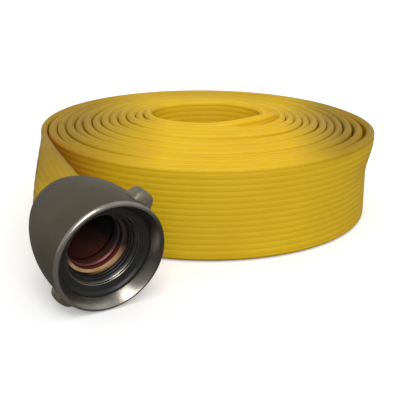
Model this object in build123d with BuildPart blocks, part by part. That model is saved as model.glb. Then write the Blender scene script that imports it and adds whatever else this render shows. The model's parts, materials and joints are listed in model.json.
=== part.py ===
"""Fire hose in a storage roll: flat ribbed hose, female swivel coupling on the
outer tail and male coupling inside the core. Millimetres, +Z up, origin on the
roll's axis at the plane it rests on, the tail and the female coupling towards -Y."""

import os
from math import cos, radians, sin, sqrt

from build123d import *

# ---- hose and roll
HOSE_WIDTH = 74.0          # lay-flat width
HOSE_WALL = 2.6            # one wall, jacket and lining in one
HOSE_FLAT = 2 * HOSE_WALL  # both walls face to face
HOSE_R = 23.85             # outside radius where it is round
ROLL_R = 140.0             # outside radius of the last turn
TURN = 6.8                 # radial growth of one turn
LEAVE = 192.0              # where the tail leaves the roll, in degrees from +X
CORE_CENTRE = (8.0, 0.0)
CORE_RX, CORE_RY = 50.5, 39.5
CORE_RISE = 9.0            # inner turns stand this much higher than the outer ones
CORE_TOP = HOSE_WIDTH + CORE_RISE
CORE_TOP_R = 36.0          # inside this radius the top is at its highest
FLAT_TOP_R = 126.0         # outside this radius the top is at the hose's width
BASE_RING_R = 112.0        # inside this radius the underside is clear of the floor
WIDTH_PLAY = 0.6           # a free stretch is this much narrower than the roll
ROUND_END = 1.0            # the hose is round this far behind a coupling
HOLLOW_PAST = 4.0          # and hollow this far behind it
TAIL_SWELL = ((0, HOSE_FLAT), (0.25, 6.0), (0.5, 12), (0.72, 27), (0.88, 40), (1, 2 * HOSE_R))
CORE_SWELL = ((0, 2 * HOSE_R), (1, 5.6))     # thickness at shares of the way along
TAIL_BEND, CORE_BEND = 0.6, 1.0     # how slowly each end of a free stretch bends, as a share of its length

# ---- both couplings, 1.5 inch hose thread
THREAD_MINOR_R = 23.7
MALE_THREAD_R = 25.1
WATERWAY_R = 19.05
BOWL_R = 23.95
GAP = 0.05                 # running or seating clearance, radial
SEAT = 0.1                 # clearance between faces along the axis
TAIL_GASKET_R = 19.6       # bore of both tail gaskets
TAIL_GASKET = 3.55
RING_OUTER_R, RING_R = HOSE_R - HOSE_WALL - GAP, 20.2      # both expansion rings
RING_REACH = 2.0           # a ring stops this far short of its bowl's end

# ---- female swivel coupling; depths are measured back from its mouth
MOUTH_R = 40.0
AZIMUTH, ELEVATION = radians(-56.8), radians(-10.0)
AXIS = Vector(cos(AZIMUTH) * cos(ELEVATION), sin(AZIMUTH) * cos(ELEVATION), sin(ELEVATION))
RIM_EDGE = 0.8             # corner break on the rim
MOUTH = Vector(-59.0, -229.0, MOUTH_R * cos(ELEVATION) + RIM_EDGE * sin(ELEVATION))
SIDE = Vector(-sin(AZIMUTH), cos(AZIMUTH), 0.0)      # level, square to the axis
TOP = AXIS.cross(SIDE)                               # upward, square to the axis
STRAIGHT = 18.0            # cylindrical front part of the bell
SEAM = 58.0                # back end of the swivel
FEMALE_LENGTH = 70.0
FEMALE_BOWL = 36.4         # the bowl that takes the hose starts here
BACK_R = 26.5
RIM_R = 38.4               # the rim's flat face ends and the bevel starts
BEVEL_R, BEVEL_TO = 33.4, 10.4
PILOT_R, PILOT_FROM, PILOT_TO = 26.0, 12.4, 14.6
THREAD_TO = 22.6
GASKET_R, GASKET_BORE = 25.4, 20.0
HEAD_R = 27.15             # tailpiece inside the swivel
HEAD_FROM = 27.4
RACE_DEPTH, RACE_R, BALL_R = 33.4, 27.2, 1.75
BALL_COUNT = 36
LUG_DEPTH, LUG_TOP_R = 15.0, 47.0
LUG_ROOT_R, LUG_CROWN = 36.0, 3.0
LUG_LONG, LUG_WIDE, LUG_CORNER = 14.0, 17.0, 3.5
LUG_TAPER = 6.0            # degrees
LUG_ANGLES = (50.0, 230.0)
PORT_ANGLE, PORT_R, PORT_TOP = 300.0, 2.5, 37.6
SCREW_FROM = RACE_R + BALL_R + GAP + SEAT
SLOT_WIDE, SLOT_LONG, SLOT_DEEP = 0.9, 6.0, 1.2

# ---- male coupling, lying in the core with its thread towards -X
MALE_LENGTH = 56.0
MALE_BOWL = 28.0           # the bowl that takes the hose starts here
MALE_FLANGE_R = 30.0
MALE_SHANK_R = 27.2
MALE_THREAD_TO, RELIEF_R, FLANGE_FROM, FLANGE_TO = 16.0, 23.3, 19.0, 27.0
MALE_LUG_DEPTH, MALE_LUG_ROOT_R, MALE_LUG_TOP_R = 24.0, 24.5, 34.0
MALE_LUG_LONG, MALE_LUG_WIDE, MALE_LUG_CORNER = 9.0, 14.0, 3.0
MALE_END = Vector(-30.0, 0.0, MALE_FLANGE_R)
MALE_AXIS = Vector(-1.0, 0.0, 0.0)
MALE_SIDE = Vector(0.0, 1.0, 0.0)

OGIVE_R = ((FEMALE_LENGTH - STRAIGHT) ** 2 + (MOUTH_R - BACK_R) ** 2) / (2 * (MOUTH_R - BACK_R))


def ogive(depth):
    """Outside radius of the bell at a depth behind its straight part."""
    return MOUTH_R - OGIVE_R + sqrt(OGIVE_R ** 2 - (depth - STRAIGHT) ** 2)


def half_plane(origin, axis, across):
    """Plane holding a coupling's axis: local x is the radius, local y is forward."""
    return Plane(origin=origin, x_dir=across, z_dir=across.cross(axis))


def around(angle):
    """Unit vector square to the female axis, turned up from the level side."""
    return SIDE * cos(radians(angle)) + TOP * sin(radians(angle))


def hermite(start, start_dir, end, end_dir, bend, t):
    """Point and direction at t on a smooth curve between two directed points."""
    reach = bend * (end - start).length
    a, b = start_dir * reach, end_dir * reach
    point = (start * (2 * t**3 - 3 * t**2 + 1) + a * (t**3 - 2 * t**2 + t)
             + end * (3 * t**2 - 2 * t**3) + b * (t**3 - t**2))
    heading = (start * (6 * t**2 - 6 * t) + a * (3 * t**2 - 4 * t + 1)
               + end * (6 * t - 6 * t**2) + b * (3 * t**2 - 2 * t))
    return point, heading.normalized()


def hose_section(point, heading, thickness):
    """Plane, width and thickness of the hose, its width upright, at a point."""
    level = heading.cross(Vector(0, 0, 1)).normalized()
    flatness = (2 * HOSE_R - thickness) / (2 * HOSE_R - HOSE_FLAT)
    width = 2 * HOSE_R + (HOSE_WIDTH - WIDTH_PLAY - 2 * HOSE_R) * flatness
    return Plane(origin=point, x_dir=level, z_dir=heading), width


def ring_turned(name, origin, axis, across, outer, inner, front, back):
    """A plain ring round a coupling axis between two depths."""
    with BuildPart() as ring:
        with BuildSketch(half_plane(origin, axis, across)):
            with Locations(((outer + inner) / 2, -(front + back) / 2)):
                Rectangle(outer - inner, back - front)
        revolve(axis=Axis(origin, axis))
    ring.part.label = name
    return ring


FEMALE = half_plane(MOUTH, AXIS, SIDE)
MALE = half_plane(MALE_END, MALE_AXIS, MALE_SIDE)
LEAVE_DIR = Vector(cos(radians(LEAVE)), sin(radians(LEAVE)), 0)
TAIL_START = LEAVE_DIR * (ROLL_R - HOSE_FLAT / 2) + Vector(0, 0, HOSE_WIDTH / 2)
TAIL_DIR = Vector(0, 0, 1).cross(LEAVE_DIR)
TAIL_END = MOUTH - AXIS * (FEMALE_LENGTH + ROUND_END)
CORE_TUBE_END = MALE_END - MALE_AXIS * (MALE_LENGTH + ROUND_END)
CORE_MEET = Vector(CORE_CENTRE[0] + CORE_RX - 1.0, 16.0, HOSE_WIDTH / 2 + CORE_RISE - 4)   # first turn
CORE_MEET_DIR = Vector(0.45, 0.89, 0).normalized()
RACE = MOUTH - AXIS * RACE_DEPTH
BELL_MID, BELL_SEAM = (STRAIGHT + SEAM) / 2, (SEAM + FEMALE_LENGTH) / 2

# ---------------------------------------------------------------- hose
with BuildPart() as hose_roll:
    # the roll: two half circles that step out by one turn where the tail leaves
    with BuildSketch():
        with BuildLine():
            shift = TURN / 4
            CenterArc(shift * -LEAVE_DIR, ROLL_R - 3 * shift, LEAVE, 180)
            CenterArc(shift * LEAVE_DIR, ROLL_R - shift, LEAVE - 180, 180)
            Line(LEAVE_DIR * (ROLL_R - TURN), LEAVE_DIR * ROLL_R)
        make_face()
        with Locations(CORE_CENTRE):
            Ellipse(CORE_RX, CORE_RY, mode=Mode.SUBTRACT)
    extrude(amount=CORE_TOP)
    # the top falls from the core to the outer turns
    with BuildSketch(Plane.XZ):
        with BuildLine():
            Polyline((CORE_TOP_R, CORE_TOP), (FLAT_TOP_R, HOSE_WIDTH), (ROLL_R + 2, HOSE_WIDTH),
                     (ROLL_R + 2, CORE_TOP + 1), (CORE_TOP_R, CORE_TOP + 1), close=True)
        make_face()
    revolve(axis=Axis.Z, mode=Mode.SUBTRACT)
    # the underside rises towards the core in the same way
    with BuildSketch(Plane.XZ):
        with BuildLine():
            Polyline((0, -1), (BASE_RING_R, -1), (BASE_RING_R, 0), (CORE_TOP_R, CORE_RISE), (0, CORE_RISE),
                     close=True)
        make_face()
    revolve(axis=Axis.Z, mode=Mode.SUBTRACT)
hose_roll.part.label = "hose_roll"


def hose_run(name, route, thicknesses, origin, axis, length, inside, clear_of=None):
    """A free stretch of hose whose thickness changes along a route, with its round end in
    a bowl: hollow from the depth inside to just past the bowl's length."""
    with BuildPart() as run:
        for t, thickness in thicknesses:
            point, heading = hermite(*route, t)
            plane, width = hose_section(point, heading, thickness)
            with BuildSketch(plane):
                RectangleRounded(thickness, width, thickness / 2 - 0.01)
        loft()
        with BuildSketch(Plane(origin=origin - axis * (length + ROUND_END), z_dir=axis)):
            Circle(HOSE_R - 2 * GAP)
        extrude(amount=length + ROUND_END - inside)
        with BuildSketch(Plane(origin=origin - axis * (length + HOLLOW_PAST), z_dir=axis)):
            Circle(HOSE_R - HOSE_WALL)
        extrude(amount=length + HOLLOW_PAST + ROUND_END - inside, mode=Mode.SUBTRACT)
        if clear_of:
            add(clear_of, mode=Mode.SUBTRACT)
    run.part.label = name
    return run


# flat at the roll, round at the female coupling
hose_tail = hose_run("hose_tail", (TAIL_START, TAIL_DIR, TAIL_END, AXIS, TAIL_BEND), TAIL_SWELL,
                     MOUTH, AXIS, FEMALE_LENGTH, FEMALE_BOWL + TAIL_GASKET + 3 * GAP)
# round at the male coupling, flat where it joins the first turn
hose_core_end = hose_run("hose_core_end", (CORE_TUBE_END, -MALE_AXIS, CORE_MEET, CORE_MEET_DIR, CORE_BEND),
                         CORE_SWELL, MALE_END, MALE_AXIS, MALE_LENGTH, MALE_BOWL + TAIL_GASKET + 3 * GAP,
                         hose_roll.part)

# ---------------------------------------------------------------- female coupling
with BuildPart() as female_swivel:
    with BuildSketch(FEMALE):
        with BuildLine():
            Polyline((MOUTH_R, -STRAIGHT), (MOUTH_R, -RIM_EDGE), (MOUTH_R - RIM_EDGE, 0), (RIM_R, 0),
                     (BEVEL_R, -BEVEL_TO), (PILOT_R, -PILOT_FROM), (PILOT_R, -PILOT_TO),
                     (THREAD_MINOR_R, -PILOT_TO), (THREAD_MINOR_R, -THREAD_TO), (GASKET_R, -THREAD_TO),
                     (GASKET_R, -HEAD_FROM + SEAT),
                     (HEAD_R + 2 * GAP, -HEAD_FROM + SEAT), (HEAD_R + 2 * GAP, -SEAM), (ogive(SEAM), -SEAM))
            ThreePointArc((ogive(SEAM), -SEAM), (ogive(BELL_MID), -BELL_MID), (MOUTH_R, -STRAIGHT))
        make_face()
    revolve(axis=Axis(MOUTH, AXIS))
    for angle in LUG_ANGLES:
        out = around(angle)
        with BuildSketch(Plane(origin=MOUTH - AXIS * LUG_DEPTH + out * LUG_ROOT_R, x_dir=AXIS, z_dir=out)):
            RectangleRounded(LUG_LONG, LUG_WIDE, LUG_CORNER)
        extrude(amount=LUG_TOP_R - LUG_ROOT_R, taper=LUG_TAPER)
        crown = [e for e in edges(Select.LAST) if (e.center() - MOUTH).dot(out) > LUG_TOP_R - LUG_CROWN]
        fillet(crown, LUG_CROWN)
    # ball race and the port the balls go in through
    with BuildSketch(FEMALE):
        with Locations((RACE_R, -RACE_DEPTH)):
            Circle(BALL_R + GAP)
    revolve(axis=Axis(MOUTH, AXIS), mode=Mode.SUBTRACT)
    with BuildSketch(Plane(origin=RACE + around(PORT_ANGLE) * RACE_R, z_dir=around(PORT_ANGLE))):
        Circle(PORT_R + GAP)
    extrude(amount=MOUTH_R - RACE_R + 1, mode=Mode.SUBTRACT)
female_swivel.part.label = "female_swivel"

with BuildPart() as female_tailpiece:
    with BuildSketch(FEMALE):
        with BuildLine():
            Polyline((BACK_R, -FEMALE_LENGTH), (BOWL_R, -FEMALE_LENGTH), (BOWL_R, -FEMALE_BOWL),
                     (WATERWAY_R, -FEMALE_BOWL), (WATERWAY_R, -HEAD_FROM), (HEAD_R, -HEAD_FROM),
                     (HEAD_R, -SEAM - SEAT), (ogive(SEAM), -SEAM - SEAT))
            ThreePointArc((ogive(SEAM), -SEAM - SEAT), (ogive(BELL_SEAM), -BELL_SEAM),
                          (BACK_R, -FEMALE_LENGTH))
        make_face()
        with Locations((RACE_R, -RACE_DEPTH)):
            Circle(BALL_R + GAP, mode=Mode.SUBTRACT)
    revolve(axis=Axis(MOUTH, AXIS))
female_tailpiece.part.label = "female_tailpiece"

with BuildPart() as swivel_balls:
    with Locations([RACE + around(360 * i / BALL_COUNT) * RACE_R for i in range(BALL_COUNT)]):
        Sphere(BALL_R)
swivel_balls.part.label = "swivel_balls"

with BuildPart() as ball_port_screw:
    out = around(PORT_ANGLE)
    with BuildSketch(Plane(origin=RACE + out * SCREW_FROM, z_dir=out)):
        Circle(PORT_R)
    extrude(amount=PORT_TOP - SCREW_FROM)
    with BuildSketch(Plane(origin=RACE + out * PORT_TOP, x_dir=AXIS, z_dir=out)):
        Rectangle(SLOT_WIDE, SLOT_LONG)
    extrude(amount=-SLOT_DEEP, mode=Mode.SUBTRACT)
ball_port_screw.part.label = "ball_port_screw"

swivel_gasket = ring_turned("swivel_gasket", MOUTH, AXIS, SIDE, GASKET_R - 2 * GAP, GASKET_BORE,
                            THREAD_TO + SEAT, HEAD_FROM - 3 * GAP)
female_tail_gasket = ring_turned("female_tail_gasket", MOUTH, AXIS, SIDE, HOSE_R, TAIL_GASKET_R,
                                 FEMALE_BOWL + GAP, FEMALE_BOWL + GAP + TAIL_GASKET)
female_expansion_ring = ring_turned("female_expansion_ring", MOUTH, AXIS, SIDE, RING_OUTER_R, RING_R,
                                    FEMALE_BOWL + TAIL_GASKET + 5 * GAP, FEMALE_LENGTH - RING_REACH)

# ---------------------------------------------------------------- male coupling
with BuildPart() as male_coupling:
    with BuildSketch(MALE):
        with BuildLine():
            Polyline((WATERWAY_R, 0), (MALE_THREAD_R - 1.2, 0), (MALE_THREAD_R, -1.2),
                     (MALE_THREAD_R, -MALE_THREAD_TO), (RELIEF_R, -MALE_THREAD_TO - 0.6),
                     (RELIEF_R, -FLANGE_FROM), (MALE_FLANGE_R - 1, -FLANGE_FROM),
                     (MALE_FLANGE_R, -FLANGE_FROM - 1),
                     (MALE_FLANGE_R, -FLANGE_TO), (MALE_SHANK_R, -FLANGE_TO - 3), (BACK_R, -MALE_LENGTH),
                     (BOWL_R, -MALE_LENGTH), (BOWL_R, -MALE_BOWL), (WATERWAY_R, -MALE_BOWL), close=True)
        make_face()
    revolve(axis=Axis(MALE_END, MALE_AXIS))
    for out in (MALE_SIDE, -MALE_SIDE):
        root = MALE_END - MALE_AXIS * MALE_LUG_DEPTH + out * MALE_LUG_ROOT_R
        with BuildSketch(Plane(origin=root, x_dir=MALE_AXIS, z_dir=out)):
            RectangleRounded(MALE_LUG_LONG, MALE_LUG_WIDE, MALE_LUG_CORNER)
        extrude(amount=MALE_LUG_TOP_R - MALE_LUG_ROOT_R, taper=LUG_TAPER)
male_coupling.part.label = "male_coupling"

male_tail_gasket = ring_turned("male_tail_gasket", MALE_END, MALE_AXIS, MALE_SIDE, HOSE_R, TAIL_GASKET_R,
                               MALE_BOWL + GAP, MALE_BOWL + GAP + TAIL_GASKET)
male_expansion_ring = ring_turned("male_expansion_ring", MALE_END, MALE_AXIS, MALE_SIDE, RING_OUTER_R, RING_R,
                                  MALE_BOWL + TAIL_GASKET + 5 * GAP, MALE_LENGTH - RING_REACH)

os.makedirs("parts", exist_ok=True)
export_step(hose_roll.part, "parts/hose_roll.step")
export_step(hose_tail.part, "parts/hose_tail.step")
export_step(hose_core_end.part, "parts/hose_core_end.step")
export_step(female_swivel.part, "parts/female_swivel.step")
export_step(female_tailpiece.part, "parts/female_tailpiece.step")
export_step(swivel_balls.part, "parts/swivel_balls.step")
export_step(ball_port_screw.part, "parts/ball_port_screw.step")
export_step(swivel_gasket.part, "parts/swivel_gasket.step")
export_step(female_expansion_ring.part, "parts/female_expansion_ring.step")
export_step(female_tail_gasket.part, "parts/female_tail_gasket.step")
export_step(male_coupling.part, "parts/male_coupling.step")
export_step(male_expansion_ring.part, "parts/male_expansion_ring.step")
export_step(male_tail_gasket.part, "parts/male_tail_gasket.step")
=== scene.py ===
import json
from math import cos, pi, radians, sin, sqrt

import bpy
import numpy as np
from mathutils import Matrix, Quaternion, Vector


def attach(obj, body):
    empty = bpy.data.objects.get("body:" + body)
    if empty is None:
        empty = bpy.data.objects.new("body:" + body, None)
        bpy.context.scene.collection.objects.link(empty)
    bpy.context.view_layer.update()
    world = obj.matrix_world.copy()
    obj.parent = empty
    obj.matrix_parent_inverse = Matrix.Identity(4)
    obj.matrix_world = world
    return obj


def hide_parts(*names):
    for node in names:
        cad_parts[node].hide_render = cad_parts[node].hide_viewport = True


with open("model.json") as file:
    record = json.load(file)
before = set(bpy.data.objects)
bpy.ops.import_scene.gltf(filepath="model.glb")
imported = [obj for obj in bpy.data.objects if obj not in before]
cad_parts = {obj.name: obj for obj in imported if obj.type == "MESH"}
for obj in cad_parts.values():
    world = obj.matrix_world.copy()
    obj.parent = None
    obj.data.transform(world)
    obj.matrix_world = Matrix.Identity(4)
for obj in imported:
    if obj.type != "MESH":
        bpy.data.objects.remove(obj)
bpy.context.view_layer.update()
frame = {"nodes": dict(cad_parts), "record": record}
MM = 0.001

# ------------------------------------------------------------------ places in the frame, in mm
spin = next(j for j in frame["record"]["behaviour"]["joints"] if j["name"] == "swivel_spin")
MOUTH = np.array(spin["pos_m"]) / MM                 # centre of the female coupling's mouth
AXIS = np.array(spin["axis"], float) / np.linalg.norm(spin["axis"])
UP = np.array((0.0, 0.0, 1.0))
SIDE = np.cross(UP, AXIS) / np.linalg.norm(np.cross(UP, AXIS))   # level, square to the axis
TOP = np.cross(AXIS, SIDE)                           # upward, square to the axis

# ------------------------------------------------------------------ sizes, in mm
# as in the CAD, except for the lugs, which are a little fuller, and some play
ROLL_R = 140.0                       # outside the last turn
HOSE_WIDTH, HOSE_FLAT = 74.0, 5.2    # width and thickness, where it lies flat
HOSE_R = 23.85                       # outside, where it is round
HELD_R = HOSE_R - 0.1                # outside, in a coupling's bowl
LEAVE = 192.0                        # where the tail leaves the roll, in degrees from +X
CORE_RISE = 9.0                      # how far the turns at the core stand up
TAIL_BEND = 0.6                      # reach of the tail's curve, as a share of its span
MALE_TUBE_END = np.array((27.0, 0.0, 30.0))          # the hose goes into the male coupling here

# the female coupling, with depths behind its mouth
FEMALE_LENGTH = 70.0
STRAIGHT, SEAM = 18.0, 58.0          # where the bell begins to narrow, and where the swivel ends
MOUTH_R, BACK_R = 40.0, 26.5         # outside
PILOT_R, BOWL_R, WATERWAY_R = 26.0, 23.95, 19.05
SWIVEL_BORE_R, HEAD_R = 27.25, 27.15
THREAD_R, THREAD_PITCH, THREAD_FROM, THREAD_TO = 23.7, 2.82, 14.6, 22.6
HEAD_FROM, BOWL_FROM = 27.4, 36.4    # the tailpiece: front of its head, bottom of its bowl
LUG_DEPTH, LUG_ROOT_R = 15.0, 37.0
LUG_HALF_LONG, LUG_HALF_WIDE = 7.4, 9.2              # along the axis and across
LUGS = ((50.0, 47.4), (230.0, 44.9))                 # angle and top radius; the lower is worn

# ------------------------------------------------------------------ the hose as wound
# places along the winding are in turns, from the right-hand end of the core
TURNS = 12 + LEAVE / 360                             # the tail leaves here
FIRST_X, FIRST_RX, FIRST_RY = 2.6, 47.1, 32.9        # the oval core: its middle and half sizes
LAST_R = ROLL_R - HOSE_FLAT / 2                      # middle of the last turn
STEP_OUT = 5                # how soon a turn has stepped out, past where the last one leaves
RISE_R, RISE_OVER = 124.0, 80.0                      # the turns rise from this radius inwards
TONGUE = 6.5                # how far the flap beside the core stands up
WAVER = 0.35                # how far the turns waver in and out
HIDDEN_FROM, HIDDEN_TO = 1.03, TURNS - 1.28          # here only a turn's top edge shows
OVERLAP = 0.002             # of two stretches of the hose
RIBBED_ROWS, HIDDEN_ROWS = 150, 120                  # rows of points in a turn

# its section
RIBS = 34                   # round the girth
RIB_CUT = (1.0, 0.55, 0.0, 0.0, 0.0, 0.55)           # share of the groove's depth across one rib
GROOVE = 0.20               # depth of a groove
TOP_EDGE, BOTTOM_EDGE = 0.25, 0.75                   # shares of the girth, from the outer face
SOFT_HALF = 4.4             # up to this half thickness the hose is as wide as when it is flat
LINING_SIZE = 0.895         # of the lining's section to the hose's
SWELL = 2.8                 # how late the tail swells from flat to round

# the lean of the outer turns, on the right-hand side
LEAN = 6.0                  # at the top of the last turn
LEAN_AT, LEAN_SPREAD = -0.10, 0.42                   # radians round the roll
LEAN_FROM, LEAN_OVER = 38.0, 29.0                    # heights


# ------------------------------------------------------------------ camera
def make_camera():
    """Stands where the roll and the coupling get their outlines."""
    data = bpy.data.cameras.new("camera")
    data.lens, data.sensor_width = 80.9, 36.0
    camera = bpy.data.objects.new("camera", data)
    bpy.context.scene.collection.objects.link(camera)
    camera.location = Vector((-3.0, -762.0, 258.0)) * MM
    pitch, roll = radians(18.52), radians(0.4)
    forward = Vector((0, cos(pitch), -sin(pitch)))
    camera.rotation_mode = "QUATERNION"
    camera.rotation_quaternion = forward.to_track_quat("-Z", "Y") @ Quaternion((0, 0, 1), roll)
    bpy.context.scene.camera = camera


make_camera()


# ------------------------------------------------------------------ node helpers
class Shader:
    """A material's node tree, with short calls for the nodes that the materials share."""

    def __init__(self, name):
        self.material = bpy.data.materials.new(name)
        self.material.use_nodes = True
        self.tree = self.material.node_tree
        self.bsdf = self.tree.nodes["Principled BSDF"]

    def node(self, kind, inputs=None, **settings):
        made = self.tree.nodes.new(kind)
        for key, value in settings.items():
            setattr(made, key, value)
        for key, value in (inputs or {}).items():
            self.put(value, made.inputs[key])
        return made

    def put(self, value, socket):
        if isinstance(value, bpy.types.NodeSocket):
            self.tree.links.new(value, socket)
        else:
            socket.default_value = value

    def uv(self):
        return self.node("ShaderNodeUVMap").outputs[0]

    def place(self, scale=(1, 1, 1), uv=False):
        """The surface's own coordinates, stretched."""
        source = self.uv() if uv else self.node("ShaderNodeTexCoord").outputs["Object"]
        return self.node("ShaderNodeMapping", {"Vector": source, "Scale": scale}).outputs[0]

    def split(self, vector):
        """A vector's three numbers."""
        return self.node("ShaderNodeSeparateXYZ", {"Vector": vector}).outputs

    def math(self, operation, *values):
        return self.node("ShaderNodeMath", dict(enumerate(values)), operation=operation).outputs[0]

    def noise(self, scale, detail=3.0, roughness=0.55, stretch=(1, 1, 1), uv=False):
        made = self.node("ShaderNodeTexNoise", {"Vector": self.place(stretch, uv), "Scale": scale,
                                                "Detail": detail, "Roughness": roughness})
        return made.outputs[0]

    def between(self, value, low, high, to_low=0.0, to_high=1.0):
        """From to_low to to_high, as a value goes from low to high."""
        made = self.node("ShaderNodeMapRange", {"Value": value, "From Min": low, "From Max": high,
                                                "To Min": to_low, "To Max": to_high})
        return made.outputs[0]

    def clouds(self, scale, detail=5.0, roughness=0.6, low=0.35, high=0.70):
        """Soft patches."""
        return self.between(self.noise(scale, detail, roughness), low, high)

    def height(self, low, high):
        """From 0 to 1 between two heights, in metres."""
        return self.between(self.split(self.place())[2], low, high)

    def mix(self, share, first, second, blend="MIX"):
        made = self.node("ShaderNodeMix", data_type="RGBA", blend_type=blend)
        self.put(share, made.inputs["Factor"])
        self.put(first, made.inputs[6])
        self.put(second, made.inputs[7])
        return made.outputs[2]

    def bump(self, height, strength, distance):
        made = self.node("ShaderNodeBump",
                         {"Height": height, "Strength": strength, "Distance": distance})
        self.put(made.outputs[0], self.bsdf.inputs["Normal"])

    def surface(self, **sockets):
        for key, value in sockets.items():
            self.put(value, self.bsdf.inputs[key.replace("_", " ")])
        return self.material


def rgb(red, green, blue):
    return (red, green, blue, 1.0)


# ------------------------------------------------------------------ materials
def hose_painted_shade(m):
    """Masks of painted shade: where the hose is darkened, and where it is painted orange-brown.
    Places are in metres.
    """
    x, y, z = m.split(m.place())
    radius = m.node("ShaderNodeVectorMath", {0: m.place((1, 1, 0))}, operation="LENGTH").outputs[1]
    # painted shade on the folds on top, at both sides and behind
    right = m.between(x, 0.065, 0.112, 0.0, 0.95)
    left = m.between(x, -0.030, -0.105, 0.0, 0.9)
    behind = m.between(y, 0.020, 0.120, 0.0, 0.42)
    folds = m.math("MAXIMUM", m.math("MAXIMUM", right, left), behind)
    folds = m.math("MULTIPLY", folds, m.between(z, 0.066, 0.074))
    # painted shade where the tail leaves the roll: darker on the tail, and orange-brown on the turn
    # beside it
    leaving = m.math("MULTIPLY", m.between(x, -0.068, -0.104),
                     m.between(y, -0.015, -0.050, 0.0, 0.75))
    on_tail = m.math("MULTIPLY", leaving, m.between(radius, 0.137, 0.141))
    on_roll = m.math("MULTIPLY", leaving, m.between(radius, 0.141, 0.138))
    on_roll = m.math("MULTIPLY", on_roll, m.between(radius, 0.1315, 0.1345, 0.0, 0.8))
    return m.math("MAXIMUM", folds, on_tail), on_roll


def hose_material():
    """Yellow ribbed rubber, a little browner in patches, with painted shade in the grooves, on the
    folds on top and beside the tail.
    """
    m = Shader("yellow_ribbed_rubber")
    patches = m.clouds(14.0, 4.0, 0.55, high=0.68)
    base = m.mix(patches, rgb(0.79, 0.520, 0.0135), rgb(0.73, 0.450, 0.0115))
    scuffs = m.between(m.noise(90.0, 5.0, 0.65, stretch=(1, 1, 2.2)), 0.56, 0.80, 0.0, 0.25)
    base = m.mix(scuffs, base, rgb(0.84, 0.58, 0.035))
    # painted shade: the grooves darker than the ribs
    off_groove = m.math("PINGPONG", m.math("MULTIPLY", m.split(m.uv())[1], RIBS), 0.5)
    base = m.mix(m.between(off_groove, 0.04, 0.17, 1.0, 0.0), base, rgb(0.71, 0.425, 0.010))
    # painted shade: the folds on top at the sides and behind, and the tail where it leaves the
    # roll, darker; the turn beside the tail orange-brown
    dark_shade, brown_shade = hose_painted_shade(m)
    shade_tint = m.mix(dark_shade, rgb(1, 1, 1), rgb(0.44, 0.43, 0.60))
    base = m.mix(1.0, base, shade_tint, "MULTIPLY")
    base = m.mix(brown_shade, base, rgb(0.48, 0.175, 0.012))
    weave = m.node("ShaderNodeTexWave", {"Vector": m.place(uv=True), "Scale": 520.0,
                                         "Distortion": 1.2, "Detail": 1.5},
                   wave_type="BANDS", bands_direction="X").outputs[1]
    m.bump(m.math("ADD", weave, m.noise(1500.0, 2.0)), 0.30, 0.00012)
    return m.surface(Base_Color=base, Roughness=m.between(patches, 0, 1, 0.46, 0.58),
                     Specular_IOR_Level=0.22)


def lining_material():
    """The hose's dark red rubber lining."""
    m = Shader("dark_lining")
    cloud = m.clouds(60.0, 4.0, 0.55, high=0.68)
    base = m.mix(cloud, rgb(0.105, 0.020, 0.014), rgb(0.060, 0.013, 0.011))
    return m.surface(Base_Color=base, Roughness=0.55)


def alloy_material():
    """Hard-anodised alloy: dark olive grey, matte, with the tool's fine circles under it."""
    m = Shader("hard_anodised_alloy")
    cloud = m.clouds(28.0, high=0.68)
    base = m.mix(cloud, rgb(0.102, 0.088, 0.055), rgb(0.082, 0.072, 0.048))
    m.bump(m.noise(1.0, 3.0, 0.7, stretch=(6.0, 1400.0, 1.0), uv=True), 0.12, 0.0001)
    return m.surface(Base_Color=base, Metallic=0.35, Roughness=m.between(cloud, 0, 1, 0.46, 0.56),
                     Specular_IOR_Level=0.3)


def bright_material():
    """Turned alloy with the fine circles that the tool leaves, and painted shade that darkens one
    side.
    """
    m = Shader("turned_alloy")
    lines = m.noise(1.0, 4.0, 0.75, stretch=(5.0, 2600.0, 1.0), uv=True)
    base = m.mix(m.between(lines, 0.3, 0.7), rgb(0.45, 0.42, 0.37), rgb(0.31, 0.29, 0.255))
    # painted shade: the side towards SIDE darker, in place of a dark reflection
    facing = m.math("COSINE", m.split(m.uv())[0])
    base = m.mix(m.between(facing, 0.45, 0.90, 0.0, 0.75), base, rgb(0.060, 0.055, 0.045))
    m.bump(lines, 0.22, 0.0001)
    return m.surface(Base_Color=base, Metallic=1.0, Roughness=0.24)


def bore_material():
    """The coupling's dark inside: near black, painted shade."""
    m = Shader("dark_bore")
    cloud = m.clouds(60.0, 4.0, 0.55, high=0.68)
    # painted shade: far darker than the anodised outside
    base = m.mix(cloud, rgb(0.018, 0.018, 0.019), rgb(0.030, 0.028, 0.026))
    return m.surface(Base_Color=base, Metallic=0.35, Roughness=0.36)


def lug_material():
    """The lug's rubbed crown, paler than the bell."""
    m = Shader("rubbed_alloy")
    rub = m.clouds(170.0, 5.0, 0.65, 0.38, 0.66)
    base = m.mix(rub, rgb(0.260, 0.225, 0.160), rgb(0.150, 0.130, 0.092))
    m.bump(rub, 0.15, 0.0002)
    return m.surface(Base_Color=base, Metallic=0.55, Roughness=0.42)


def red_material():
    """Brick-red rubber, dusty in places, with painted shade that darkens it towards its top."""
    m = Shader("red_rubber")
    base = m.mix(m.clouds(75.0), rgb(0.19, 0.036, 0.024), rgb(0.13, 0.026, 0.020))
    # painted shade: near black from 30 mm up to 40 mm and above
    base = m.mix(m.height(0.030, 0.040), base, rgb(0.020, 0.018, 0.018))
    m.bump(m.noise(900.0, 3.0), 0.2, 0.0001)
    return m.surface(Base_Color=base, Roughness=0.42)


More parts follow.
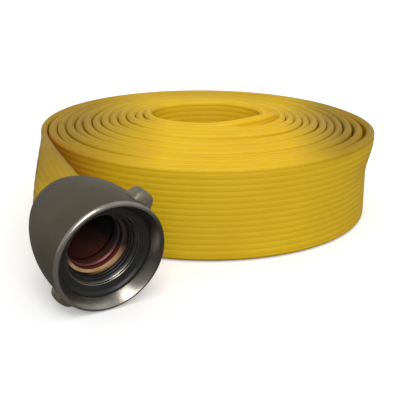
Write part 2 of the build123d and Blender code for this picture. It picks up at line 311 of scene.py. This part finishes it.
def lip_material(name, edge):
    """The washer's pale tan lip, with painted shade that darkens it towards its top. Beyond its
    edge the tan is a painted lit crescent that covers only part of the way round, with painted
    shade elsewhere."""
    m = Shader(name)
    base = m.mix(m.clouds(120.0), rgb(0.74, 0.47, 0.25), rgb(0.52, 0.24, 0.08))
    # painted shade towards the top
    lip_shade = m.height(0.028, 0.037)
    # painted light beyond the edge: tan only in a lit crescent, painted shade round the rest
    if not edge:
        lip_shade = m.math("MAXIMUM", lip_shade, m.between(m.split(m.uv())[0], 4.5, 5.2, 1.0, 0.0))
    base = m.mix(lip_shade, base, rgb(0.036, 0.022, 0.019))
    return m.surface(Base_Color=base, Roughness=0.40)


def ring_material():
    """Copper-red rolled ring, with painted shade that darkens it towards its top."""
    m = Shader("copper_ring")
    base = m.mix(m.clouds(50.0), rgb(0.250, 0.080, 0.062), rgb(0.175, 0.056, 0.046))
    # painted shade: dark grey from 28 mm up to 40 mm and above
    base = m.mix(m.height(0.028, 0.040), base, rgb(0.042, 0.042, 0.042))
    return m.surface(Base_Color=base, Metallic=0.45, Roughness=0.34)


def steel_material():
    """Ground steel."""
    m = Shader("ground_steel")
    cloud = m.clouds(200.0, 4.0, 0.55, high=0.68)
    base = m.mix(cloud, rgb(0.50, 0.50, 0.51), rgb(0.38, 0.38, 0.39))
    return m.surface(Base_Color=base, Metallic=1.0, Roughness=0.28)


def floor_material():
    """A pale studio floor, dimmer to what it lights and to reflections than to the eye."""
    m = Shader("floor")
    tone = m.between(m.noise(3.0, 2.0), 0.3, 0.7)
    pale = m.mix(tone, rgb(0.95, 0.95, 0.95), rgb(0.97, 0.97, 0.97))
    seen = m.node("ShaderNodeLightPath").outputs["Is Camera Ray"]
    return m.surface(Base_Color=m.mix(seen, rgb(0.26, 0.26, 0.26), pale), Roughness=0.9,
                     Specular_IOR_Level=0.1, Emission_Color=rgb(1, 1, 1),
                     Emission_Strength=m.between(seen, 0, 1, 0.0, 0.25))


HOSE, LINING = hose_material(), lining_material()
ALLOY, BRIGHT, BORE, LUG = alloy_material(), bright_material(), bore_material(), lug_material()
RED, RING, STEEL = red_material(), ring_material(), steel_material()
# the lip's materials carry painted shade, and the second a painted lit crescent
LIP, LIP_FACE = lip_material("tan_rubber", True), lip_material("tan_rubber_painted_crescent", False)


# ------------------------------------------------------------------ mesh helpers
def quads(rows, columns, closed_rows):
    """The row and column of each quad's corners, over rows of points that are each a loop."""
    r = np.arange(rows if closed_rows else rows - 1)[:, None] * np.ones((1, columns), int)
    c = np.arange(columns)[None, :] * np.ones((len(r), 1), int)
    return (np.stack([r, r, r + 1, r + 1], axis=-1).reshape(-1, 4),
            np.stack([c, c + 1, c + 1, c], axis=-1).reshape(-1, 4))


class Build:
    """Collects points, faces, material numbers and UVs for one mesh, in millimetres."""

    def __init__(self):
        self.points, self.faces, self.slots, self.uvs, self.count = [], [], [], [], 0

    def grid(self, points, slots=0, caps=False, closed_rows=False, u=None, v=None):
        """points[row, column]; each row is a closed loop. slots is one number, or one for each
        column, or one for each row in a column of its own. u belongs to the rows and v to the
        columns, each with one value more where it closes."""
        rows, columns = points.shape[:2]
        r, c = quads(rows, columns, closed_rows)
        self.faces += (self.count + (r % rows) * columns + c % columns).tolist()
        each = np.broadcast_to(np.asarray(slots), (len(r) // columns, columns))
        self.slots += each.reshape(-1).tolist()
        self.points.append(points.reshape(-1, 3))
        u = np.zeros(rows + 1) if u is None else u
        v = np.zeros(columns + 1) if v is None else v
        self.uvs.append(np.stack([u[r], v[c]], axis=-1).reshape(-1, 2))
        if caps:
            first, last = self.count, self.count + (rows - 1) * columns
            self.faces += [list(range(first, first + columns))[::-1],
                           list(range(last, last + columns))]
            self.uvs.append(np.zeros((2 * columns, 2)))
            self.slots += [int(each[0].max()), int(each[-1].max())]
        self.count += rows * columns

    def object(self, name, materials, body, replaced):
        mesh = bpy.data.meshes.new(name)
        mesh.from_pydata((np.concatenate(self.points) * MM).tolist(), [], self.faces)
        for material in materials:
            mesh.materials.append(material)
        mesh.polygons.foreach_set("material_index", self.slots)
        mesh.polygons.foreach_set("use_smooth", [True] * len(mesh.polygons))
        uvs = np.concatenate(self.uvs).reshape(-1)
        mesh.uv_layers.new(name="UVMap").data.foreach_set("uv", uvs)
        mesh.update()
        made = bpy.data.objects.new(name, mesh)
        bpy.context.scene.collection.objects.link(made)
        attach(made, body)
        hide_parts(*replaced)
        return made


# ------------------------------------------------------------------ the winding
def unevenness(u, period, seed, swing):
    """A slow, seeded waver along the winding, about period turns long and different round it."""
    rng = np.random.default_rng(seed)
    total = np.zeros_like(u)
    for k in range(4):
        shift, around, size = rng.uniform(0, 2 * pi), rng.integers(1, 4), rng.uniform(0.6, 1.0)
        total += size * np.sin(2 * pi * u / (period * (0.8 + 0.28 * k)) + shift
                               + swing * np.sin(2 * pi * u * around + rng.uniform(0, 2 * pi)))
    return total / 2.2


def step(value):
    """From 0 to 1, level at both ends."""
    value = np.clip(value, 0, 1)
    return value * value * (3 - 2 * value)


def flat_winding(u):
    """Where the middle of the flat hose is, seen from above, at turn u. Each turn steps out
    soon after the place where the last one leaves."""
    begun = u - LEAVE / 360
    share = (LEAVE / 360 + np.floor(begun) + 1 - (1 - np.mod(begun, 1)) ** STEP_OUT) / TURNS
    angle = 2 * pi * u
    waver = WAVER * unevenness(u, 2.9, 3, 0.5) * np.sin(pi * np.clip(share, 0, 1)) ** 0.5
    rx = FIRST_RX * (1 - share) + LAST_R * share + waver
    ry = FIRST_RY * (1 - share) + LAST_R * share + waver
    return np.stack([FIRST_X * (1 - share) + rx * np.cos(angle), ry * np.sin(angle)], axis=-1)


def winding(u):
    """The middle of the flat hose at turn u. It stands up towards the core, unevenly except in
    the last turn, and highest in the flap at the end of the first."""
    flat = flat_winding(u)
    rise = CORE_RISE * np.clip((RISE_R - np.hypot(*flat.T)) / RISE_OVER, 0, 1.05)
    settle = step((TURNS - 0.9 - u) / 2.0)
    uneven = 1.1 * unevenness(u, 2.3, 11, 0.8) + 0.6 * unevenness(u, 1.25, 5, 0.3) + 0.9
    lift = np.maximum(rise + settle * uneven, 0.0)
    tongue = TONGUE * step((u - 0.73) / 0.21) * (1 - step((u - 0.945) / 0.035))
    return np.concatenate([flat, (HOSE_WIDTH / 2 + lift + tongue)[:, None]], axis=-1)


def half_of(u):
    """Half the room that a turn has: the hose is soft and fills nearly all of it."""
    inner = np.hypot(*flat_winding(np.maximum(u - 1, 0)).T)
    here = np.hypot(*flat_winding(u).T)
    outer = np.hypot(*flat_winding(u + 1).T)
    room = np.where(u < 1, outer - here,
                    np.where(u > TURNS - 1, here - inner, (outer - inner) / 2))
    slack = 0.03 * np.cos(2 * pi * u) ** 2
    return np.clip(0.5 * room * (1.0 - slack), 0.4 * HOSE_FLAT, SOFT_HALF - 0.05)


def stretch(first, last, rows_per_turn):
    """Evenly spaced places on the winding."""
    return np.linspace(first, last, int((last - first) * rows_per_turn) + 1)


def lean_of(u):
    """How far a turn leans out on the right: most outside, fading over the turns within."""
    return LEAN * np.clip(1.0 - (TURNS - 0.5 - u) * 0.38, 0, 1) ** 1.5


def leaning(points, amount):
    """The points of a stretch, with their tops pushed out on the right-hand side."""
    angle = np.arctan2(points[..., 1], points[..., 0])
    push = (amount * np.exp(-(((angle - LEAN_AT) / LEAN_SPREAD) ** 2))
            * step((points[..., 2] - LEAN_FROM) / LEAN_OVER))
    moved = points.copy()
    moved[..., 0] += push * np.cos(angle)
    moved[..., 1] += push * np.sin(angle)
    return moved


# ------------------------------------------------------------------ the hose's section and sweep
def ribbed():
    """Shares of the girth and how deep each is cut: narrow grooves between wide flat ribs."""
    count = RIBS * len(RIB_CUT)
    return np.arange(count) / count, GROOVE * np.tile(RIB_CUT, RIBS)


def section(half_thickness, share, cut):
    """The hose's section for each half thickness: across and up, at the same shares of its girth
    whatever its shape, from the middle of its outer face. cut is how deep each place is grooved."""
    r = np.asarray(half_thickness, float)[:, None]
    flat = HOSE_WIDTH / 2 - r
    closing = (HOSE_WIDTH / 2 - SOFT_HALF) * (HOSE_R - r) / (HOSE_R - SOFT_HALF)
    a = np.maximum(np.where(r < SOFT_HALF, flat, closing), 0.0)      # half of a flat face
    arc = pi * r                                                     # round a rolled edge
    girth = 4 * a + 2 * arc
    s = np.mod(np.asarray(share)[None, :] * girth + a, girth)        # from the face's low end
    faces = [s < 2 * a, s < 2 * a + arc, s < 4 * a + arc]            # outer, over the top, inner
    phi = np.select(faces, [0.0 * s, (s - 2 * a) / r, pi + 0.0 * s], pi + (s - 4 * a - arc) / r)
    up = np.select(faces, [s - a, a + 0.0 * s, a - (s - 2 * a - arc)], -a + 0.0 * s)
    out_dir = np.stack([np.cos(phi), np.sin(phi)], axis=-1)
    place = np.stack([r * out_dir[..., 0], up + r * out_dir[..., 1]], axis=-1)
    return place - out_dir * np.asarray(cut)[None, :, None]


def sweep(build, path, half_thickness, share, cut, shape=None, lined=0):
    """Adds a length of hose along a path, and returns how long it is. Its last rows, as many as
    lined, are gone back over on the inside, so the end is hollow."""
    heading = np.gradient(path, axis=0)
    heading /= np.linalg.norm(heading, axis=1)[:, None]
    out = np.cross(heading, UP)
    out /= np.linalg.norm(out, axis=1)[:, None]
    up = np.cross(out, heading)

    def rows(sections, keep):
        return (path[keep, None] + out[keep, None] * sections[keep, :, :1]
                + up[keep, None] * sections[keep, :, 1:])

    everything = np.arange(len(path))
    points = rows(section(half_thickness, share, cut), everything)
    if shape is not None:
        points = shape(points)
    run = np.concatenate([[0], np.cumsum(np.linalg.norm(np.diff(path, axis=0), axis=1))]) * MM
    u, slots = run, np.zeros((len(path) - 1, 1), int)
    if lined:
        back = everything[-lined:][::-1]
        inside = section(half_thickness, share, 0 * cut) * LINING_SIZE
        points = np.concatenate([points, rows(inside, back)])
        u = np.concatenate([run, run[back]])
        slots = np.concatenate([slots, np.ones((lined, 1), int)])
    build.grid(points, slots=slots, caps=True, u=np.append(u, 0), v=np.append(share, 1 + share[0]))
    return run[-1]


def hermite(start, start_dir, end, end_dir, t, bend=1.0):
    """A smooth curve between two directed points, as the CAD's own."""
    reach = bend * np.linalg.norm(end - start)
    t = t[:, None]
    return (start * (2 * t**3 - 3 * t**2 + 1) + start_dir * reach * (t**3 - 2 * t**2 + t)
            + end * (3 * t**2 - 2 * t**3) + end_dir * reach * (t**3 - t**2))


def smoothed(path, passes=3):
    """Evens out the joins of its stretches."""
    path = path.copy()
    for _ in range(passes):
        path[1:-1] = (path[:-2] + 2 * path[1:-1] + path[2:]) / 4
    return path


# ------------------------------------------------------------------ the hose
def core_end(first):
    """The route from the male coupling to the first turn, and its half thickness."""
    out_of_bowl = np.array((1.0, 0, 0))
    bowl = MALE_TUBE_END - out_of_bowl * np.linspace(20, 1, 10)[:, None]
    start = winding(np.array([first, first + 0.01]))
    heading = (start[1] - start[0]) / np.linalg.norm(start[1] - start[0])
    t = np.linspace(0, 0.96, 26)
    path = hermite(MALE_TUBE_END, out_of_bowl, start[0], heading, t)
    half = half_of(np.array([first]))[0]
    flattening = half + (HELD_R - half) * (1 - step(t)) ** 1.4
    return np.concatenate([bowl, path]), np.concatenate([np.full(len(bowl), HELD_R), flattening])


def inner_turn(build, share, cut):
    """From the male coupling and once round the core."""
    u = stretch(0.07, HIDDEN_FROM + OVERLAP, RIBBED_ROWS)
    begin, swollen = core_end(u[0])
    path = smoothed(np.concatenate([begin, winding(u)]))
    return sweep(build, path, np.concatenate([swollen, half_of(u)]), share, cut)


def hidden_turns(build, share, cut):
    """The turns that show only their top edges, with no more points down their hidden faces
    than they need."""
    u = stretch(HIDDEN_FROM, HIDDEN_TO + OVERLAP, HIDDEN_ROWS)
    fold = np.abs(share - TOP_EDGE) < 0.075
    under = np.abs(share - BOTTOM_EDGE) < 0.028
    keep = fold | (under & (np.arange(len(share)) % 3 == 0))
    return sweep(build, winding(u), half_of(u), share[keep], cut[keep],
                 lambda points: leaning(points, lean_of(u)[:, None]))


def outer_turn_and_tail(build, share, cut):
    """The last turn and the tail, which is round where it goes into the coupling."""
    u = stretch(HIDDEN_TO, TURNS - 0.012, RIBBED_ROWS)
    t = np.linspace(0.02, 1, 90)
    leave = np.array((cos(radians(LEAVE)), sin(radians(LEAVE)), 0))
    tail = hermite(leave * LAST_R + UP * HOSE_WIDTH / 2, np.cross(UP, leave),
                   MOUTH - AXIS * (FEMALE_LENGTH + 1), AXIS, t, TAIL_BEND)
    into = MOUTH - AXIS * np.linspace(FEMALE_LENGTH, BOWL_FROM + 4, 14)[:, None]
    path = smoothed(np.concatenate([winding(u), tail, into]))
    on_roll, flat = half_of(u), HOSE_FLAT / 2
    half = np.concatenate([on_roll + (flat - on_roll) * step((u - TURNS + 0.15) / 0.13),
                           flat + (HOSE_R - flat) * t ** SWELL, np.full(len(into), HELD_R)])
    lean = np.zeros(len(path))
    lean[:len(u)] = lean_of(u) * np.clip((TURNS - u) / 0.25, 0, 1)
    return sweep(build, path, half, share, cut,
                 lambda points: leaning(points, lean[:, None]), lined=20)


def make_hose():
    """The whole hose, and its length in metres."""
    build = Build()
    share, cut = ribbed()
    stretches = (inner_turn, hidden_turns, outer_turn_and_tail)
    length = sum(add(build, share, cut) for add in stretches)
    hose = build.object("hose", [HOSE, LINING], "hose_body",
                        ("hose_roll", "hose_tail", "hose_core_end"))
    return hose, length


hose, hose_length = make_hose()


# ------------------------------------------------------------------ turned pieces
def ogive(depth):
    """Outside radius of the bell at a depth behind its straight part."""
    back, fall = FEMALE_LENGTH - STRAIGHT, MOUTH_R - BACK_R
    radius = (back**2 + fall**2) / (2 * fall)
    return MOUTH_R - radius + sqrt(radius**2 - (depth - STRAIGHT) ** 2)


def turned(build, profile, steps=144, longest=3.0):
    """Turns a closed profile of (radius, depth, material number) round the female axis.
    A material belongs to the stretch that starts at its point."""
    dense = []
    for (r0, d0, slot), (r1, d1, _) in zip(profile, profile[1:] + profile[:1]):
        pieces = max(1, int(np.hypot(r1 - r0, d1 - d0) / longest))
        for k in range(pieces):
            dense.append((r0 + (r1 - r0) * k / pieces, d0 + (d1 - d0) * k / pieces, slot))
    r, d, slots = (np.array(values) for values in zip(*dense))
    run = np.concatenate([[0], np.cumsum(np.hypot(np.diff(r), np.diff(d)))]) * MM
    last = np.hypot(r[-1] - r[0], d[-1] - d[0]) * MM
    angle = np.linspace(0, 2 * pi, steps, endpoint=False)[:, None]
    out = np.cos(angle)[..., None] * SIDE + np.sin(angle)[..., None] * TOP
    points = MOUTH - AXIS * d[None, :, None] + out * r[None, :, None]
    # the columns run backwards, so a stretch's material belongs to the point at its other end
    build.grid(points[:, ::-1], slots=np.append(slots[::-1][1:], slots[-1]), closed_rows=True,
               u=np.linspace(0, 2 * pi, steps + 1), v=np.append(run[::-1], -last))


def rounded(points, radius, slot):
    """Three points in place of a sharp corner, given between its two neighbours."""
    before, corner, after = (np.array(p[:2], float) for p in points)
    to_before, to_after = before - corner, after - corner
    first = corner + to_before / np.linalg.norm(to_before) * radius
    last = corner + to_after / np.linalg.norm(to_after) * radius
    middle = (first + last) / 4 + corner / 2
    return [(*first, slot), (*middle, slot), (*last, slot)]


def add_thread(build, slot):
    """A right-hand thread: a closed ridge that winds into the bore."""
    tall, run_out = 1.4, 0.6        # the ridge, and its distance from each end of the bore
    turns = (THREAD_TO - THREAD_FROM - 2 * run_out) / THREAD_PITCH
    angle = np.linspace(0, 2 * pi * turns, int(96 * turns))
    depth = THREAD_FROM + run_out + THREAD_PITCH * angle / (2 * pi)
    fade = np.clip(np.minimum(angle, angle[-1] - angle) / 0.6, 0.05, 1)[:, None]
    crest = np.array([(tall, -1.15), (0.15, -0.35), (0.0, 0.0), (0.15, 0.35), (tall, 1.15),
                      (1.7, 0.0)])
    out = np.cos(angle)[:, None] * SIDE + np.sin(angle)[:, None] * TOP
    radius = THREAD_R + tall - (tall - crest[None, :, 0]) * fade
    place = depth[:, None] + crest[None, :, 1] * fade
    points = MOUTH - AXIS * place[..., None] + out[:, None, :] * radius[..., None]
    build.grid(points, slots=slot, caps=True)


def add_lug(build, angle, top, slot):
    """A rocker lug: a rounded block that grows out of the bell."""
    out = np.cos(angle) * SIDE + np.sin(angle) * TOP
    across = np.cross(AXIS, out)
    centre = MOUTH - AXIS * LUG_DEPTH
    lat = np.linspace(-0.9, pi / 2 - 0.02, 25)[:, None]
    lon = np.linspace(0, 2 * pi, 48, endpoint=False)[None, :]

    def soft(value, power):
        return np.sign(value) * np.abs(value) ** power

    flat = soft(np.cos(lat), 0.55)
    along = LUG_HALF_LONG * flat * soft(np.cos(lon), 0.62)
    wide = LUG_HALF_WIDE * flat * soft(np.sin(lon), 0.62)
    height = soft(np.maximum(np.sin(lat), 0), 0.75) * np.ones_like(lon)
    crown = LUG_ROOT_R + (top - LUG_ROOT_R) * height - (wide / LUG_HALF_WIDE) ** 2 * 0.9
    points = centre + AXIS * along[..., None] + across * wide[..., None] + out * crown[..., None]
    build.grid(points, slots=slot, caps=True)


def make_swivel():
    """The bell: a rounded rim, a bevel, a short wall and a shoulder down to the thread."""
    build = Build()
    body, bright, bore, lug = 0, 1, 2, 3
    nose = 2.4                      # the rim's rounding
    edge, bevel, wall = (37.4, 0), (33.0, 8.0), (32.9, 10.6)
    pilot, thread = (PILOT_R, 12.4), (PILOT_R, THREAD_FROM)
    groove_r, washer_r = THREAD_R + 1.3, 25.4
    outer = [(ogive(d), d, body) for d in np.linspace(SEAM, STRAIGHT, 14)]
    rim = [(MOUTH_R - nose + nose * cos(a), nose - nose * sin(a), bright)
           for a in np.linspace(0, pi / 2, 9)]
    rim += (rounded([(MOUTH_R - nose, 0), edge, bevel], 0.15, bright)
            + rounded([edge, bevel, wall], 0.25, bore))
    shoulder = [(*wall, bore)] + rounded([wall, pilot, thread], 0.45, bright)
    inside = [(*thread, bore), (groove_r, THREAD_FROM, bore), (groove_r, THREAD_TO, bore),
              (washer_r, THREAD_TO, bore), (washer_r, HEAD_FROM - 0.1, bore),
              (SWIVEL_BORE_R, HEAD_FROM - 0.1, bore), (SWIVEL_BORE_R, SEAM, body)]
    turned(build, outer + rim + shoulder + inside)
    add_thread(build, bore)
    for angle, top in LUGS:
        add_lug(build, radians(angle), top, lug)
    build.object("swivel_bell", [ALLOY, BRIGHT, BORE, LUG], "swivel",
                 ("female_swivel",))


def make_tailpiece():
    """The fixed back of the bell, its bowl and its head."""
    build = Build()
    body, inside = 0, 1
    back = FEMALE_LENGTH
    profile = [(ogive(SEAM), SEAM + 0.15, body)]
    profile += [(ogive(d), d, body) for d in np.linspace(SEAM + 1.0, back - 0.8, 6)]
    profile += rounded([(ogive(back - 2), back - 2), (BACK_R, back), (24.0, back)], 0.7, body)
    profile += [(BOWL_R, back, body), (BOWL_R, BOWL_FROM, inside),
                (WATERWAY_R, BOWL_FROM, inside), (WATERWAY_R, HEAD_FROM, inside),
                (HEAD_R, HEAD_FROM, inside), (HEAD_R, SEAM + 0.15, body)]
    turned(build, profile[::-1])
    return build.object("tailpiece_bowl", [ALLOY, RING], "hose_body",
                        ("female_tailpiece",))


def make_washer():
    """The washer under the thread, with a pale rounded face."""
    build = Build()
    red, lip, face = 0, 1, 2
    front, back = THREAD_TO, HEAD_FROM - 0.2
    profile = [(25.2, front + 0.5, red), (24.9, front + 0.15, red), (22.6, front + 0.1, face),
               (20.9, front + 0.2, lip), (20.4, front + 0.4, lip), (20.1, front + 0.9, red),
               (20.0, front + 2, red), (20.0, back, red), (25.2, back, red)]
    turned(build, profile[::-1])
    build.object("swivel_washer", [RED, LIP, LIP_FACE], "swivel",
                 ("swivel_gasket",))


make_swivel()
tailpiece = make_tailpiece()
make_washer()

# ------------------------------------------------------------------ CAD nodes that stay
KEPT = {
    "swivel_balls": STEEL, "ball_port_screw": STEEL, "female_expansion_ring": RING,
    "female_tail_gasket": RED, "male_coupling": ALLOY, "male_expansion_ring": RING,
    "male_tail_gasket": RED,
}
for node, material in KEPT.items():
    kept = frame["nodes"][node]
    kept.data.materials.clear()
    kept.data.materials.append(material)


# ------------------------------------------------------------------ floor and light
def make_floor():
    """A wide floor, a little below the roll."""
    half, level = 40.0, -0.0004
    corners = [(-half, -half, level), (half, -half, level), (half, half, level),
               (-half, half, level)]
    mesh = bpy.data.meshes.new("floor")
    mesh.from_pydata(corners, [], [(0, 1, 2, 3)])
    mesh.materials.append(floor_material())
    floor = bpy.data.objects.new("floor", mesh)
    bpy.context.scene.collection.objects.link(floor)


def sun(name, azimuth, elevation, strength, spread):
    """A soft light from far off; the angles say where it comes from."""
    data = bpy.data.lights.new(name, "SUN")
    data.energy, data.angle = strength, radians(spread)
    light = bpy.data.objects.new(name, data)
    a, e = radians(azimuth), radians(elevation)
    source = Vector((cos(a) * cos(e), sin(a) * cos(e), sin(e)))
    light.rotation_mode = "QUATERNION"
    light.rotation_quaternion = source.to_track_quat("Z", "Y")
    bpy.context.scene.collection.objects.link(light)


def make_light():
    """An even studio with a window, a front light and a faint one from behind."""
    world = bpy.data.worlds.new("studio")
    world.use_nodes = True
    background = world.node_tree.nodes["Background"]
    background.inputs["Color"].default_value = (1, 1, 1, 1)
    background.inputs["Strength"].default_value = 0.55
    bpy.context.scene.world = world
    sun("window", -88, 60, 0.60, 26)
    sun("front", -80, 32, 1.26, 40)
    sun("back", 5, 52, 0.06, 30)
    bpy.context.scene.view_settings.view_transform = "Standard"


make_floor()
make_light()
